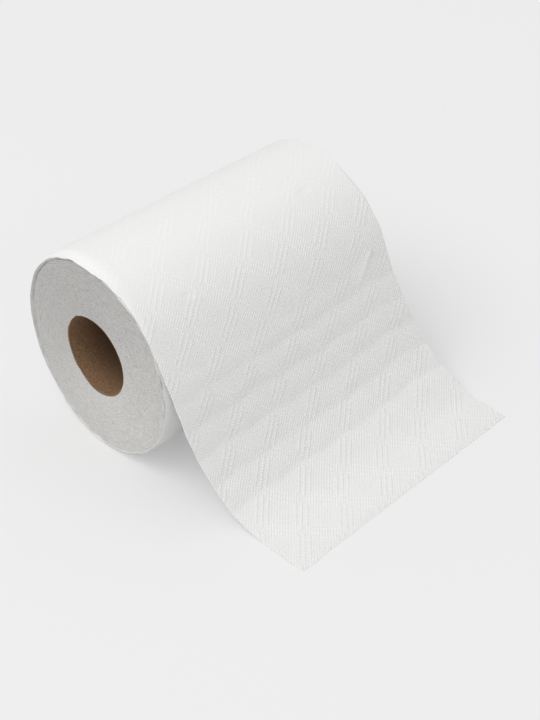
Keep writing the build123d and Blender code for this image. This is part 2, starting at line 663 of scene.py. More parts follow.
@dataclass(frozen=True)
class CutPaper:
    """The sawn ends of the wound paper: fuzzy edges of many turns, greyer than the sheet's face."""

    color: Rgba = (0.78, 0.772, 0.753, 1.0)
    shade: Rgba = (0.38, 0.375, 0.361, 1.0)
    lip_color: Rgba = (0.74, 0.735, 0.72, 1.0)
    lip_from: float = 0.0633
    lip_blend: float = 0.0002
    roughness: float = 1.0
    specular: float = 0.1
    turn_pitch_mm: float = 0.55
    strokes_per_turn: float = 60.0
    stroke_share: float = 0.3
    lint_scale: float = 2900.0
    cloud_scale: float = 900.0
    fuzz_range: Pair = (0.30, 0.56)
    nap_slope: float = 0.78
    nap_turn_deg: float = 30.0
    relief_m: float = 0.0005

    def _lean(self, g: NodeGraph, x: Number, z: Number, radius: Number) -> Socket:
        """The face's normal where the saw has laid the fibres over, in towards the core and round it.

        Args:
            g: the material's graph helper.
            x: the place across the roll.
            z: the height.
            radius: the distance from the core's axis.

        Returns:
            The leaning normal's socket.
        """
        inward = self.nap_slope * math.cos(math.radians(self.nap_turn_deg))
        around = self.nap_slope * math.sin(math.radians(self.nap_turn_deg))
        tilt: List[Socket] = []
        for first, second, turn in ((x, z, -around), (z, x, around)):
            side = g.math("MULTIPLY_ADD", second, turn, g.math("MULTIPLY", first, -inward))
            tilt.append(g.math("DIVIDE", side, radius))
        leaning = g.add("ShaderNodeVectorMath", operation="ADD")
        g.feed(g.add("ShaderNodeNewGeometry").outputs["Normal"], leaning.inputs[0])
        g.feed(g.join(tilt[0], 0.0, tilt[1]), leaning.inputs[1])
        unit = g.add("ShaderNodeVectorMath", operation="NORMALIZE")
        g.feed(leaning.outputs[0], unit.inputs[0])
        return unit.outputs[0]

    def material(self, grain: FibreGrain) -> Material:
        """Builds the end faces' finish.

        Args:
            grain: the paper's fibres.

        Returns:
            The material.
        """
        made, g = bare_material("cut_paper")
        shader = g.surface(self.roughness, self.specular)
        place = g.add("ShaderNodeTexCoord").outputs["Object"]
        x, _, z = g.split(place)
        radius = g.math("SQRT", g.math("ADD", g.math("MULTIPLY", x, x), g.math("MULTIPLY", z, z)))
        turned = g.math("DIVIDE", g.math("ARCTAN2", x, z), 2.0 * math.pi)
        count = g.math("DIVIDE", g.math("MULTIPLY", radius, 1.0 / MM), self.turn_pitch_mm)
        phase = g.math("SUBTRACT", count, turned)
        # Short strokes along the turns: noise stretched round the roll.
        polar = g.join(phase, g.math("MULTIPLY", turned, self.strokes_per_turn))
        strokes = grain.place(g, polar, 1.0, 1.0).outputs["Fibres"]
        lint = grain.place(g, place, self.lint_scale, self.cloud_scale).outputs["Fibres"]
        fuzz = g.math("MULTIPLY", lint, 1.0 - self.stroke_share)
        mixed = g.math("MULTIPLY_ADD", strokes, self.stroke_share, fuzz)
        sawn = g.blend(g.fade(mixed, *self.fuzz_range), self.shade, self.color)
        on_lip = g.fade(radius, self.lip_from - self.lip_blend, self.lip_from + self.lip_blend)
        g.feed(g.blend(on_lip, sawn, self.lip_color), shader.inputs["Base Color"])
        bump = g.relief(mixed, self.relief_m)
        g.feed(self._lean(g, x, z, radius), bump.inputs["Normal"])
        g.feed(bump.outputs["Normal"], shader.inputs["Normal"])
        return made


@dataclass(frozen=True)
class CoreBoard:
    """Plain brown wound board, matt and speckled with fibres, with painted shade deep in the bore."""

    color: Rgba = (0.255, 0.150, 0.083, 1.0)
    light: Rgba = (0.36, 0.228, 0.135, 1.0)
    # The dark colour of the flecks, also used for the painted shade deep in the bore.
    dark_fleck_and_shade: Rgba = (0.11, 0.061, 0.033, 1.0)
    open_to: float = 0.0925
    deep_from: float = 0.062
    # Painted shade: how far the board is darkened deep in the bore.
    bore_shade_share: float = 0.8
    roughness: float = 0.85
    specular: float = 0.2
    stretch: Triple = (1.0, 0.45, 1.0)
    fibre_scale: float = 1500.0
    cloud_scale: float = 240.0
    light_flecks: Pair = (0.5, 0.72)
    dark_flecks: Pair = (0.46, 0.3)
    dark_clouds: Pair = (0.2, 0.7)
    relief_share: float = 0.5
    relief_m: float = 0.0002

    def material(self, grain: FibreGrain) -> Material:
        """Builds the core's finish.

        Args:
            grain: the board's fibres.

        Returns:
            The material.
        """
        made, g = bare_material("core_board")
        shader = g.surface(self.roughness, self.specular)
        place = g.add("ShaderNodeTexCoord").outputs["Object"]
        drawn_out = g.add("ShaderNodeMapping")
        drawn_out.inputs["Scale"].default_value = self.stretch
        g.feed(place, drawn_out.inputs["Vector"])
        fibres = grain.place(g, drawn_out.outputs["Vector"], self.fibre_scale, self.cloud_scale)
        flecks, clouds = fibres.outputs["Fibres"], fibres.outputs["Clouds"]
        light = g.blend(g.fade(flecks, *self.light_flecks), self.color, self.light)
        specks = g.math("MULTIPLY", g.fade(flecks, *self.dark_flecks), g.fade(clouds, *self.dark_clouds))
        flecked = g.blend(specks, light, self.dark_fleck_and_shade)
        # Painted shade: the board's colour is darkened deep in the bore, where little light reaches.
        inside = g.math("ABSOLUTE", g.split(place)[1])
        deep = g.fade(inside, self.open_to, self.deep_from)
        shown = g.blend(g.math("MULTIPLY", deep, self.bore_shade_share), flecked, self.dark_fleck_and_shade)
        g.feed(shown, shader.inputs["Base Color"])
        bump = g.relief(flecks, self.relief_m, self.relief_share)
        g.feed(bump.outputs["Normal"], shader.inputs["Normal"])
        return made


@dataclass(frozen=True)
class EndSlip:
    """How far the outer turns at the far end stand out or in, by the angle from the top.

    Lengths are in millimetres and angles in radians.
    """

    out_by: float = 2.2
    out_from: float = -1.9
    out_full: float = -0.9
    out_to: float = 0.42
    out_under: float = 1.2
    in_by: float = 2.2
    in_under: float = 2.8
    in_to: float = 1.2
    step: float = 0.36
    wrap_to: float = 1.2 * math.pi

    def shift(self, turned: np.ndarray) -> np.ndarray:
        """The last turn's shift along the roll.

        Args:
            turned: angles from the top.

        Returns:
            One shift for each angle, in millimetres.
        """
        rise = smooth((turned - self.out_from) / (self.out_full - self.out_from))
        out = self.out_by * rise * smooth((self.out_to - turned) / self.step)
        back = smooth((turned - self.out_to + self.step) / self.step)
        back *= smooth((self.in_to - turned) / (2.0 * self.step))
        return out - self.in_by * back

    def nodes(self, g: NodeGraph, angle: Socket) -> Socket:
        """The shift of the turns under the last one, in metres, as a node socket.

        Args:
            g: the tree's graph helper.
            angle: the angle from the top, from 0 to a whole turn.

        Returns:
            The shift's socket.
        """
        turned = g.math("WRAP", angle, self.wrap_to, self.wrap_to - 2.0 * math.pi)
        out = g.math(
            "MULTIPLY",
            g.fade(turned, self.out_from, self.out_full),
            g.fade(turned, self.out_to, self.out_to - self.step),
        )
        back = g.math(
            "MULTIPLY",
            g.fade(turned, self.out_to - self.step, self.out_to),
            g.fade(turned, self.in_to, self.in_to - 2.0 * self.step),
        )
        inward = g.math("MULTIPLY", back, -self.in_under * MM)
        return g.math("MULTIPLY_ADD", out, self.out_under * MM, inward)


@dataclass(frozen=True)
class NearRim:
    """The near end's soft shape: cut a little askew at the back, its rim drawn in at the top and back.

    Lengths are in millimetres and angles in radians from the top.
    """

    rim_radius: float = 63.3
    askew: float = 0.05
    hinge: float = 20.0
    askew_from: float = 30.0
    askew_fade: float = 60.0
    drawn: float = 1.8
    drawn_from: float = 84.0
    drawn_fade: float = 9.0
    middle: float = 5.0
    half: float = 1.9
    full: float = 1.1

    def setback(self, points: np.ndarray) -> np.ndarray:
        """How far points stand back along the roll, in millimetres.

        Args:
            points: places in millimetres.

        Returns:
            One length for each point.
        """
        behind = -points[..., 0]
        # This eases the hinge as the Smooth Maximum node does.
        bend = np.maximum(self.hinge - np.abs(behind), 0.0) / self.hinge
        reach = np.maximum(behind, 0.0) + bend**3 * self.hinge / 6.0
        near = smooth((-points[..., 1] - self.askew_from) / self.askew_fade)
        return self.askew * reach * near

    def shaped(self, points: np.ndarray, turned: np.ndarray) -> np.ndarray:
        """Moves points of the last turn to the rim's soft shape.

        Args:
            points: places in millimetres, one row for each angle.
            turned: the angles from the top, in radians.

        Returns:
            The moved points.
        """
        off = np.abs(np.mod(turned - self.middle + math.pi, 2.0 * math.pi) - math.pi)
        held = smooth((self.half - off) / (self.half - self.full))[:, None]
        near = smooth((-points[..., 1] - self.drawn_from) / self.drawn_fade)
        scale = 1.0 - self.drawn * held * near**2 / np.hypot(points[..., 0], points[..., 2])
        back = points[..., 1] + self.setback(points)
        return np.stack([points[..., 0] * scale, back, points[..., 2] * scale], -1)

    def nodes(self, g: NodeGraph, angle: Socket, radius: Socket, y: Socket) -> Tuple[Socket, Socket]:
        """The same shape for the turns beneath.

        Args:
            g: the tree's graph helper.
            angle: the angle from the top.
            radius: the distance from the core's axis in metres.
            y: the place along the core in metres.

        Returns:
            The new radius and the new place along the core.
        """
        turned = g.math("WRAP", angle, self.middle + math.pi, self.middle - math.pi)
        off = g.math("ABSOLUTE", g.math("SUBTRACT", turned, self.middle))
        near = g.fade(y, -self.drawn_from * MM, -(self.drawn_from + self.drawn_fade) * MM)
        draw = g.math("MULTIPLY", g.fade(off, self.half, self.full), g.math("MULTIPLY", near, near))
        behind = g.math("MULTIPLY", g.math("MULTIPLY", radius, g.math("SINE", angle)), -1.0)
        reach = g.math("SMOOTH_MAX", behind, 0.0, self.hinge * MM)
        share = g.fade(y, -self.askew_from * MM, -(self.askew_from + self.askew_fade) * MM)
        back = g.math("MULTIPLY", g.math("MULTIPLY", reach, share), self.askew)
        outer = g.math("MULTIPLY", draw, g.math("DIVIDE", radius, self.rim_radius * MM))
        return g.math("MULTIPLY_ADD", outer, -self.drawn * MM, radius), g.math("ADD", y, back)


@dataclass
class PaperWeb:
    """The last turn of the web and its free sheet, as one thin sheet.

    Lengths are in millimetres. The web runs clockwise, seen from the near end: from under the lap at
    the top, once round the roll, over the top again, off the front and down to the floor.
    """

    roll_radius: float = 65.0
    width: float = 185.0
    thickness: float = 0.6
    turn_step: float = 1.0
    wrap_inset: float = 0.8
    floor: float = -64.0
    slip: float = 1.5
    drift: float = 8.9
    leave_deg: float = 72.0
    lap_deg: Tuple[float, ...] = (0.0, 16.0, 32.0, 48.0, 62.0)
    lap_lift: float = 0.8
    touch_across: float = 142.0
    front_run: float = 8.0
    lying_run: float = 30.0
    wrap_rows: int = 124
    free_rows: int = 250
    columns: int = 122
    ripple_start: float = 99.2
    ripple_pitch: float = 17.6
    ripple_height: float = 1.05
    ripple_fades: Pair = (0.12, 0.25)
    ripple_uneven: Wander = Wander(0.32, 44.0, 11)
    ripple_stagger: float = 53.0
    ripple_sway: Wander = Wander(1.3, 31.0, 5)
    zigzag_height: float = 1.1
    zigzag_pitch: float = 35.2
    crest_round: float = 0.02
    crest_drop: float = 0.6
    soft_along: Wander = Wander(0.35, 38.0, 21)
    soft_across: Wander = Wander(1.0, 52.0, 22)
    soft_rates: Pair = (5.0, 6.0)
    lying_height: float = 0.25
    lying_fades: Pair = (12.0, 7.0)
    lying_along: Wander = Wander(1.0, 15.0, 31)
    lying_across: Wander = Wander(1.0, 26.0, 32)
    near_wear: Tuple[Wander, ...] = (Wander(0.45, 8.0, 41), Wander(0.3, 3.1, 42))
    far_wear: Tuple[Wander, ...] = (Wander(0.4, 11.0, 43), Wander(0.2, 2.9, 44))
    wear_loss: float = 0.8
    wear_before: float = 15.0
    wear_fade: float = 20.0
    front_wear: Tuple[Wander, ...] = (Wander(0.22, 2.2, 51), Wander(0.3, 17.0, 52))
    rim_run: float = 3.4
    rim_drop: float = 0.4
    rim_uneven: Wander = Wander(0.3, 7.0, 45)
    rim_fade: float = 20.0
    torn_thinning: float = 0.7
    torn_run: float = 2.5
    near_fall: Tuple[Pair, ...] = (
        (67.6, 14.2), (73.0, 2.2), (78.6, -13.6), (88.4, -33.0),
        (102.6, -50.4), (116.0, -60.0), (131.0, -63.2),
    )
    far_fall: Tuple[Pair, ...] = (
        (65.4, 11.6), (71.1, 0.0), (77.7, -12.5), (86.0, -28.2),
        (102.6, -48.3), (118.1, -57.9), (131.0, -63.1),
    )
    near_front: float = 165.0
    far_front: float = 158.6
    dimples: Tuple[Tuple[Pair, Pair, float], ...] = (
        ((58.9, 25.4), (4.5, 2.0), 0.5),
        ((-54.3, 47.1), (3.0, 2.2), 0.45),
    )
    fold: Tuple[Pair, float, float] = ((80.5, 78.0), 40.0, 1.3)
    fold_start: float = 3.0
    fold_half: float = 1.6
    end_slip: EndSlip = EndSlip()
    near_rim: NearRim = NearRim()

    def _edge(self, fall: Sequence[Pair], front: float) -> Tuple[np.ndarray, np.ndarray]:
        """One long edge of the free sheet, from the top of the roll to the front.

        Args:
            fall: points of the fall, across and up.
            front: where the sheet ends on the floor.

        Returns:
            The lengths along it and its points.
        """
        level = self.floor + self.thickness / 2
        middle = self.roll_radius - self.thickness / 2
        knots = []
        for turned in self.lap_deg:
            reach = middle + self.lap_lift * (turned / self.leave_deg) ** 2
            angle = math.radians(turned)
            knots.append((reach * math.sin(angle), reach * math.cos(angle)))
        lying = (self.touch_across, front - self.front_run, front)
        knots += list(fall) + [(across, level) for across in lying]
        return cubic_through(np.array(knots))

    def _wrap(self) -> np.ndarray:
        """The turn round the roll, flattened where it rests.

        Returns:
            Its points, across and up.
        """
        turned = np.linspace(0.0, 2.0 * math.pi, self.wrap_rows, endpoint=False)
        start = self.roll_radius - self.turn_step - self.thickness / 2
        reach = start + self.turn_step * turned / (2.0 * math.pi)
        points = np.stack([reach * np.sin(turned), reach * np.cos(turned)], -1)
        points[:, 1] = np.maximum(points[:, 1], self.floor + self.thickness / 2)
        return points

    def _relief(self, along: np.ndarray, across: np.ndarray, leave: float, touch: float) -> np.ndarray:
        """How far the sheet stands off its smooth run.

        Args:
            along: lengths from the top of the roll, one for each row.
            across: places across the sheet, one for each column.
            leave: the length at which it leaves the roll.
            touch: the length at which it reaches the floor.

        Returns:
            The height of every vertex.
        """
        s, y = np.meshgrid(along, across, indexing="ij")
        share = np.clip((s - leave) / (touch - leave), 0.0, 1.0)
        zigzag = np.abs(((y / self.zigzag_pitch) % 1.0) - 0.5) * 4.0 - 1.0
        sway = self.zigzag_height * zigzag + self.ripple_sway.at(y)
        phase = (s - self.ripple_start + sway) / self.ripple_pitch
        scallop = np.sqrt(np.sin(math.pi * phase) ** 2 + self.crest_round) - self.crest_drop
        staggered = y + self.ripple_stagger * np.round(phase)
        uneven = 1.0 - self.ripple_uneven.height + self.ripple_uneven.at(staggered)
        window = smooth(share / self.ripple_fades[0]) * smooth((1.0 - share) / self.ripple_fades[1])
        ripple = self.ripple_height * scallop * uneven * window
        soft = self.soft_along.at(s) * self.soft_across.at(y)
        soft *= smooth(share * self.soft_rates[0]) * smooth((1.0 - share) * self.soft_rates[1])
        lying = smooth((s - touch) / self.lying_fades[0]) * self.lying_height
        lying *= 1.0 + self.lying_along.at(s) * self.lying_across.at(y)
        lying *= smooth((along[-1] - s) / self.lying_fades[1])
        dimples = np.zeros_like(s)
        for place, spread, depth in self.dimples:
            off = ((y - place[0]) / spread[0]) ** 2 + ((s - place[1]) / spread[1]) ** 2
            dimples -= depth * np.exp(-off)
        start, run, depth = self.fold
        down = ((s - start[1]) - (y - start[0])) * math.sqrt(0.5)
        aside = ((s - start[1]) + (y - start[0])) * math.sqrt(0.5)
        held = smooth(down / self.fold_start) * smooth((run - down) / run)
        fold = depth * held * np.exp(-np.abs(aside) / self.fold_half)
        return ripple + soft + lying + dimples + fold

    def _run(self, edge: Tuple[np.ndarray, np.ndarray]) -> np.ndarray:
        """One long edge of the free sheet, in even steps.

        Args:
            edge: the lengths along it and its points.

        Returns:
            One point for each row of the free sheet.
        """
        lengths, points = edge
        steps = np.linspace(0.0, 1.0, self.free_rows) * lengths[-1]
        return np.stack([np.interp(steps, lengths, points[:, k]) for k in (0, 1)], -1)

    def _sides(
        self, along: np.ndarray, slide: np.ndarray, leave: float
    ) -> Tuple[np.ndarray, np.ndarray]:
        """Where the two long edges lie along the roll, with their wear.

        Args:
            along: lengths from the top of the roll, one for each row.
            slide: how much of the sideways drift each row has.
            leave: the length at which the sheet leaves the roll.

        Returns:
            The near edge's and the far edge's place for each row.
        """
        wound = 1.0 - self.wear_loss * smooth((along - leave + self.wear_before) / self.wear_fade)
        near_wear = sum(noise.at(along) for noise in self.near_wear) * wound
        far_wear = sum(noise.at(along) for noise in self.far_wear) * wound
        near_y = -self.width / 2 - self.slip + self.drift * slide + near_wear
        far_y = self.width / 2 - self.slip + self.drift * slide + far_wear
        return near_y, far_y + self.end_slip.shift(along / self.roll_radius)

    def build(self, material: Material, cut: Material) -> Tuple[Piece, float]:
        """Makes the sheet as a closed thin mesh with its own flat UV map in metres.

        Args:
            material: the sheet's finish.
            cut: the finish of its sawn edges on the roll.

        Returns:
            The piece, and its flat length in metres.
        """
        wrap = self._wrap()
        near = self._edge(self.near_fall, self.near_front)
        far = self._edge(self.far_fall, self.far_front)
        free_len = (near[0][-1] + far[0][-1]) / 2
        leave = math.radians(self.leave_deg) * self.roll_radius
        touch = free_len - self.lying_run
        wrap_len = 2.0 * math.pi * (self.roll_radius - self.wrap_inset)
        wrap_along = np.linspace(-wrap_len, 0.0, self.wrap_rows, endpoint=False)
        along = np.concatenate([wrap_along, np.linspace(0.0, 1.0, self.free_rows) * free_len])
        near_all = np.concatenate([wrap, self._run(near)])
        far_all = np.concatenate([wrap, self._run(far)])
        across = np.linspace(-0.5, 0.5, self.columns)
        cross = np.linspace(0.0, 1.0, self.columns)[None, :, None]
        flat = near_all[:, None, :] * (1.0 - cross) + far_all[:, None, :] * cross
        near_y, far_y = self._sides(along, smooth((along - leave) / (touch - leave)), leave)
        y = near_y[:, None] * (1.0 - cross[..., 0]) + far_y[:, None] * cross[..., 0]
        middle = np.stack([flat[..., 0], y, flat[..., 1]], -1)
        wound_rows = along < leave
        turned = along[wound_rows] / self.roll_radius
        middle[wound_rows] = self.near_rim.shaped(middle[wound_rows], turned)
        # A torn front edge wanders a little between its perforations.
        place = across * self.width
        middle[-1, :, 0] += sum(noise.at(place) for noise in self.front_wear)
        down = np.gradient(middle, axis=0)
        over = np.gradient(middle, axis=1)
        normal = np.cross(down, over)
        normal /= np.linalg.norm(normal, axis=-1, keepdims=True)
        height = self._relief(along, place, leave, touch)
        # The wound edge at the near end is rolled in a little.
        at_rim = (1.0 - np.clip((across + 0.5) * self.width / self.rim_run, 0.0, 1.0)) ** 2
        rolled = self.rim_drop - self.rim_uneven.at(along)
        rolled *= 1.0 - smooth((along - leave + self.rim_fade) / self.rim_fade)
        height -= rolled[:, None] * at_rim[None, :]
        thin = 1.0 - self.torn_thinning * smooth((along - along[-1] + self.torn_run) / self.torn_run)
        outer = middle + normal * (height + self.thickness * (thin[:, None] - 0.5))[..., None]
        under = middle + normal * (height - self.thickness / 2)[..., None]
        under[..., 2] = np.maximum(under[..., 2], self.floor)
        piece = self._close(outer, under, along, place, material)
        piece.data.materials.append(cut)
        rims = len(piece.data.polygons) - 2 * (len(along) - 1) * (len(across) - 1)
        # The wound edges were sawn with the roll's ends, and the free ones are as clean as the sheet.
        for face in piece.data.polygons[-rims:]:
            face.material_index = int(along[face.vertices[0] // len(across)] < leave)
        return piece, (wrap_len + free_len) * MM

    def _close(
        self,
        outer: np.ndarray,
        under: np.ndarray,
        along: np.ndarray,
        across: np.ndarray,
        material: Material,
    ) -> Piece:
        """Joins the two faces along their rims and lays the UV map.

        Args:
            outer: the outer face's points.
            under: the inner face's points.
            along: the length of each row.
            across: the place of each column.
            material: the finish.

        Returns:
            The closed sheet.
        """
        rows, cols = outer.shape[:2]
        index = np.arange(rows * cols).reshape(rows, cols)
        base = rows * cols
        a, b, c, d = index[:-1, :-1], index[1:, :-1], index[1:, 1:], index[:-1, 1:]
        top = np.stack([a, b, c, d], -1).reshape(-1, 4)
        bottom = np.stack([d, c, b, a], -1).reshape(-1, 4) + base
        ring = np.concatenate([index[:-1, 0], index[-1, :-1], index[:0:-1, -1], index[0, :0:-1]])
        after = np.roll(ring, -1)
        rim = np.stack([ring, ring + base, after + base, after], -1)
        faces = np.concatenate([top, bottom, rim])
        points = np.concatenate([outer.reshape(-1, 3), under.reshape(-1, 3)]) * MM
        piece = mesh_object("free_sheet", points, faces.tolist(), material)
        s, y = np.meshgrid(along, across, indexing="ij")
        flat = np.tile(np.stack([y.ravel(), s.ravel()], -1) * MM, (2, 1))
        layer = piece.data.uv_layers.new(name="Sheet")
        corners = np.zeros(len(piece.data.loops), dtype=np.int32)
        piece.data.loops.foreach_get("vertex_index", corners)
        layer.data.foreach_set("uv", flat[corners].astype(np.float32).ravel())
        return piece


@dataclass
class WoundTurns:
    """The wound body inside the last turn: both sawn ends with their spiral, and the wall between.

    Lengths are in millimetres and angles in radians from the top. A noise is its scale and its octaves.
    """

    core_radius: float = 26.4
    rim_radius: float = 63.32
    rim_step: float = 1.0
    half_width: float = 92.5
    lip_radius: float = 63.2
    lip_overhang: float = 1.3
    turn_pitch: float = 1.15
    turn_relief: float = 0.32
    unevenness: float = 0.55
    floor: float = -63.36
    loose_radius: float = 48.0
    gap_angle: float = 5.4
    gap_half: float = 0.6
    gap_noise: Pair = (3.5, 3.0)
    gap_breaks: Pair = (0.42, 0.62)
    gap_side: Pair = (-0.1, 0.6)
    wall_share: float = -0.2
    slow_noise: Pair = (55.0, 2.0)
    slow_place: float = 3.0
    turn_noise: Pair = (1.6, 1.0)
    turn_share: float = 0.9
    turn_place: float = 7.0
    weld_m: float = 2e-6
    end_slip: EndSlip = EndSlip()
    near_rim: NearRim = NearRim()
    segments: int = 180
    rings: int = 112
    wall_rows: int = 40

    def _tree(self) -> Tree:
        """Builds the geometry tree: one grid for each end and one for the wall, bent round the core.

        Returns:
            The tree.
        """
        names = (
            "Core Radius", "Rim Radius", "Rim Step", "Half Width", "Lip Radius", "Lip Overhang",
            "Turn Pitch", "Turn Relief", "Unevenness", "Floor",
        )
        kinds = {name: "NodeSocketFloat" for name in names}
        kinds.update({"Segments": "NodeSocketInt", "Rings": "NodeSocketInt"})
        kinds["Material"] = "NodeSocketMaterial"
        tree, g, given = geometry_tree("Wound turns", kinds)
        size = {name: given.outputs[name] for name in names}
        joined = g.add("GeometryNodeJoinGeometry")
        for end in (RollEnd.FAR, RollEnd.NEAR):
            g.feed(self._end_face(g, given, size, end), joined.inputs[0])
        g.feed(self._wall(g, given, size), joined.inputs[0])
        merge = g.add("GeometryNodeMergeByDistance")
        merge.inputs["Distance"].default_value = self.weld_m
        g.feed(joined.outputs[0], merge.inputs["Geometry"])
        smooth_faces = g.add("GeometryNodeSetShadeSmooth")
        g.feed(merge.outputs[0], smooth_faces.inputs[0])
        end_tree(g, given, smooth_faces.outputs[0])
        return tree

    def _round(self, g: NodeGraph, size: Dict[str, Socket]) -> Tuple[Socket, Socket, Socket, Socket]:
        """Reads a unit grid as a turn share and a second share, and works out the rim there.

        Args:
            g: the tree's graph helper.
            size: the tree's size sockets.

        Returns:
            The turn share, the second share, the angle and the rim's radius.
        """
        x, y, _ = g.split(g.add("GeometryNodeInputPosition").outputs[0])
        turn = g.math("ADD", x, 0.5)
        other = g.math("ADD", y, 0.5)
        angle = g.math("MULTIPLY", turn, 2.0 * math.pi)
        rim = g.math("MULTIPLY_ADD", size["Rim Step"], turn, size["Rim Radius"])
        return turn, other, angle, rim

    def _place(
        self,
        g: NodeGraph,
        size: Dict[str, Socket],
        mesh: Socket,
        angle: Socket,
        radius: Socket,
        y: Socket,
    ) -> Socket:
        """Puts a grid's points at an angle, a radius and a place along the core, flat where it rests.

        Args:
            g: the tree's graph helper.
            size: the tree's size sockets.
            mesh: the grid.
            angle: the angle from the top, towards the free sheet.
            radius: the distance from the core's axis.
            y: the place along the core.

        Returns:
            The placed mesh.
        """
        outer = g.fade(radius, self.loose_radius * MM, self.rim_radius * MM)
        outer = g.math("MULTIPLY", outer, g.fade(y, 0.0, self.half_width * MM))
        y = g.math("MULTIPLY_ADD", outer, self.end_slip.nodes(g, angle), y)
        radius, y = self.near_rim.nodes(g, angle, radius, y)
        side = g.math("MULTIPLY", radius, g.math("SINE", angle))
        up = g.math("MULTIPLY", radius, g.math("COSINE", angle))
        put = g.add("GeometryNodeSetPosition")
        g.feed(mesh, put.inputs["Geometry"])
        g.feed(g.join(side, y, g.math("MAXIMUM", up, size["Floor"])), put.inputs["Position"])
        return put.outputs[0]

    def _grid(self, g: NodeGraph, across: Number, up: Number) -> Socket:
        """A unit grid.

        Args:
            g: the tree's graph helper.
            across: how many vertices it has across.
            up: how many it has up.

        Returns:
            The grid's mesh.
        """
        grid = g.add("GeometryNodeMeshGrid")
        grid.inputs["Size X"].default_value = 1.0
        grid.inputs["Size Y"].default_value = 1.0
        g.feed(across, grid.inputs["Vertices X"])
        g.feed(up, grid.inputs["Vertices Y"])
        return grid.outputs[0]

    def _end_face(self, g: NodeGraph, given: Node, size: Dict[str, Socket], end: RollEnd) -> Socket:
        """One sawn end, with a ridge for each turn of the spiral and soft unevenness.

        Args:
            g: the tree's graph helper.
            given: the tree's input node.
            size: the tree's size sockets.
            end: which end it is.

        Returns:
            The end's mesh.
        """
        turn, other, angle, rim = self._round(g, size)
        span = g.math("SUBTRACT", rim, size["Core Radius"])
        radius = g.math("MULTIPLY_ADD", span, other, size["Core Radius"])
        phase = g.math("SUBTRACT", g.math("DIVIDE", radius, size["Turn Pitch"]), turn)
        ridge = g.math("PINGPONG", phase, 0.5)
        sine, cosine = g.math("SINE", angle), g.math("COSINE", angle)
        side, up = g.math("MULTIPLY", sine, radius), g.math("MULTIPLY", cosine, radius)
        slow_spot = g.join(side, up, self.slow_place * end.value)
        slow = g.math("SUBTRACT", g.noise(slow_spot, *self.slow_noise), 0.5)
        # Each turn stands a little in or out of its neighbours.
        turn_spot = g.join(g.math("MULTIPLY", phase, self.turn_share), sine, self.turn_place * end.value)
        per_turn = g.math("SUBTRACT", g.noise(turn_spot, *self.turn_noise), 0.5)
        rise = g.math("MULTIPLY", ridge, size["Turn Relief"])
        rise = g.math("ADD", rise, g.math("MULTIPLY", slow, size["Unevenness"]))
        rise = g.math("ADD", rise, g.math("MULTIPLY", per_turn, size["Unevenness"]))
        # A broken gap runs under the lip at the upper back.
        broken = g.fade(g.noise(g.join(sine, cosine), *self.gap_noise), *self.gap_breaks)
        behind = g.math("COSINE", g.math("SUBTRACT", angle, self.gap_angle))
        broken = g.math("MULTIPLY", broken, g.fade(behind, *self.gap_side))
        under_lip = g.line(g.math("SUBTRACT", radius, size["Lip Radius"]), self.gap_half * MM)
        gap = g.math("MULTIPLY", under_lip, broken)
        rise = g.math("SUBTRACT", rise, g.math("MULTIPLY", gap, size["Lip Overhang"]))
        lip = g.math("GREATER_THAN", radius, size["Lip Radius"])
        lip = g.math("MULTIPLY", g.math("MULTIPLY", lip, size["Lip Overhang"]), -1.0 * end.value)
        out = g.math("ADD", g.math("ADD", size["Half Width"], rise), lip)
        grid = self._grid(g, given.outputs["Segments"], given.outputs["Rings"])
        mesh = self._place(g, size, grid, angle, radius, g.math("MULTIPLY", out, float(end.value)))
        if end is RollEnd.FAR:
            return mesh
        flip = g.add("GeometryNodeFlipFaces")
        g.feed(mesh, flip.inputs[0])
        return flip.outputs[0]

    def _wall(self, g: NodeGraph, given: Node, size: Dict[str, Socket]) -> Socket:
        """The wound side wall under the last turn.

        Args:
            g: the tree's graph helper.
            given: the tree's input node.
            size: the tree's size sockets.

        Returns:
            The wall's mesh.
        """
        _, other, angle, rim = self._round(g, size)
        reach = g.math("MULTIPLY_ADD", size["Lip Overhang"], self.wall_share, size["Half Width"])
        y = g.math("MULTIPLY", g.math("MULTIPLY_ADD", other, 2.0, -1.0), reach)
        flip = g.add("GeometryNodeFlipFaces")
        grid = self._grid(g, given.outputs["Segments"], self.wall_rows)
        g.feed(self._place(g, size, grid, angle, rim, y), flip.inputs[0])
        return flip.outputs[0]

    def build(self, material: Material) -> Piece:
        """Makes the wound body.

        Args:
            material: the finish of its sawn ends.

        Returns:
            The piece.
        """
        values: Dict[str, object] = {
            "Core Radius": self.core_radius * MM,
            "Rim Radius": self.rim_radius * MM,
            "Rim Step": self.rim_step * MM,
            "Half Width": self.half_width * MM,
            "Lip Radius": self.lip_radius * MM,
            "Lip Overhang": self.lip_overhang * MM,
            "Turn Pitch": self.turn_pitch * MM,
            "Turn Relief": self.turn_relief * MM,
            "Unevenness": self.unevenness * MM,
            "Floor": self.floor * MM,
            "Segments": self.segments + 1,
            "Rings": self.rings,
        }
        return grown("wound_turns", self._tree(), values, material)


